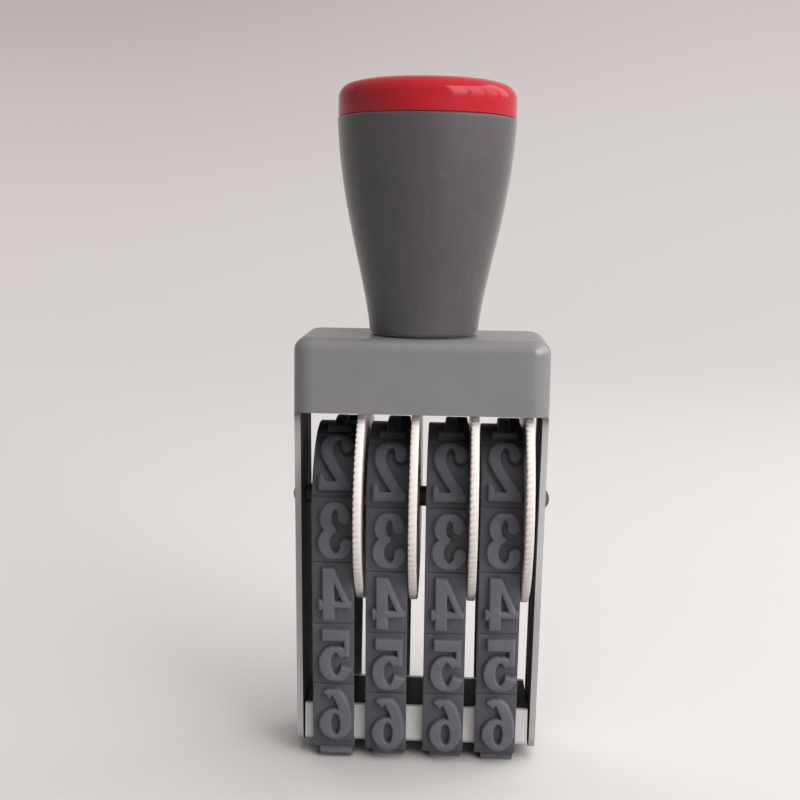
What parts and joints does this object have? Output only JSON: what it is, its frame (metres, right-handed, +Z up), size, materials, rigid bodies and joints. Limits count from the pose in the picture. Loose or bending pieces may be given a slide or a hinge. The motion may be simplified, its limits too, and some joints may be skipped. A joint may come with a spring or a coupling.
{
  "type": "rotary number stamp",
  "caption": "Hand number stamp: flared grip on a pressed steel frame, knurled thumb wheels on an axle and endless rubber belts of raised mirrored figures round a flat platen.",
  "frame": {"origin": "middle of the printing face that the stamp stands on", "axes": "+Z up through the grip, +X along the wheel axle to the right seen from the front, -Y towards the front"},
  "size_m": [0.0434, 0.0348, 0.1123],
  "materials": {
    "grey_enamel": "semi-gloss grey enamel on sheet steel",
    "grey_plastic": "fine matte moulding texture",
    "red_plastic": "polished red moulding",
    "bright_steel": "bright turned steel",
    "dark_steel": "dull brown steel rod",
    "pale_nylon": "natural nylon with a warm tint",
    "grey_rubber": "moulded grey rubber",
    "platen_steel": "bright zinc plated sheet",
    "black_plastic": "matte black moulding"
  },
  "bodies": {
    "stamp": {"frame": "grey_enamel", "handle": "grey_plastic", "handle_cap": "red_plastic", "handle_screw": "bright_steel", "plate_washer": "bright_steel", "lock_washer": "bright_steel", "hex_nut": "bright_steel", "axle": "dark_steel", "number_belt_1": "grey_rubber", "number_belt_2": "grey_rubber", "number_belt_3": "grey_rubber", "number_belt_4": "grey_rubber", "platen_channel": "platen_steel", "platen_core": "black_plastic", "platen_rivet_left": "bright_steel", "platen_rivet_right": "bright_steel"},
    "wheel_1": {"number_wheel_1": "pale_nylon"},
    "wheel_2": {"number_wheel_2": "pale_nylon"},
    "wheel_3": {"number_wheel_3": "pale_nylon"},
    "wheel_4": {"number_wheel_4": "pale_nylon"}
  },
  "joints": [
    {"name": "wheel_1_turn", "type": "hinge", "parent": "stamp", "child": "wheel_1", "pos_m": [-0.01025, 0, 0.0438], "axis": [1, 0, 0], "continuous": true},
    {"name": "wheel_2_turn", "type": "hinge", "parent": "stamp", "child": "wheel_2", "pos_m": [-0.0015, 0, 0.0438], "axis": [1, 0, 0], "continuous": true},
    {"name": "wheel_3_turn", "type": "hinge", "parent": "stamp", "child": "wheel_3", "pos_m": [0.0081, 0, 0.0438], "axis": [1, 0, 0], "continuous": true},
    {"name": "wheel_4_turn", "type": "hinge", "parent": "stamp", "child": "wheel_4", "pos_m": [0.01685, 0, 0.0438], "axis": [1, 0, 0], "continuous": true}
  ]
}
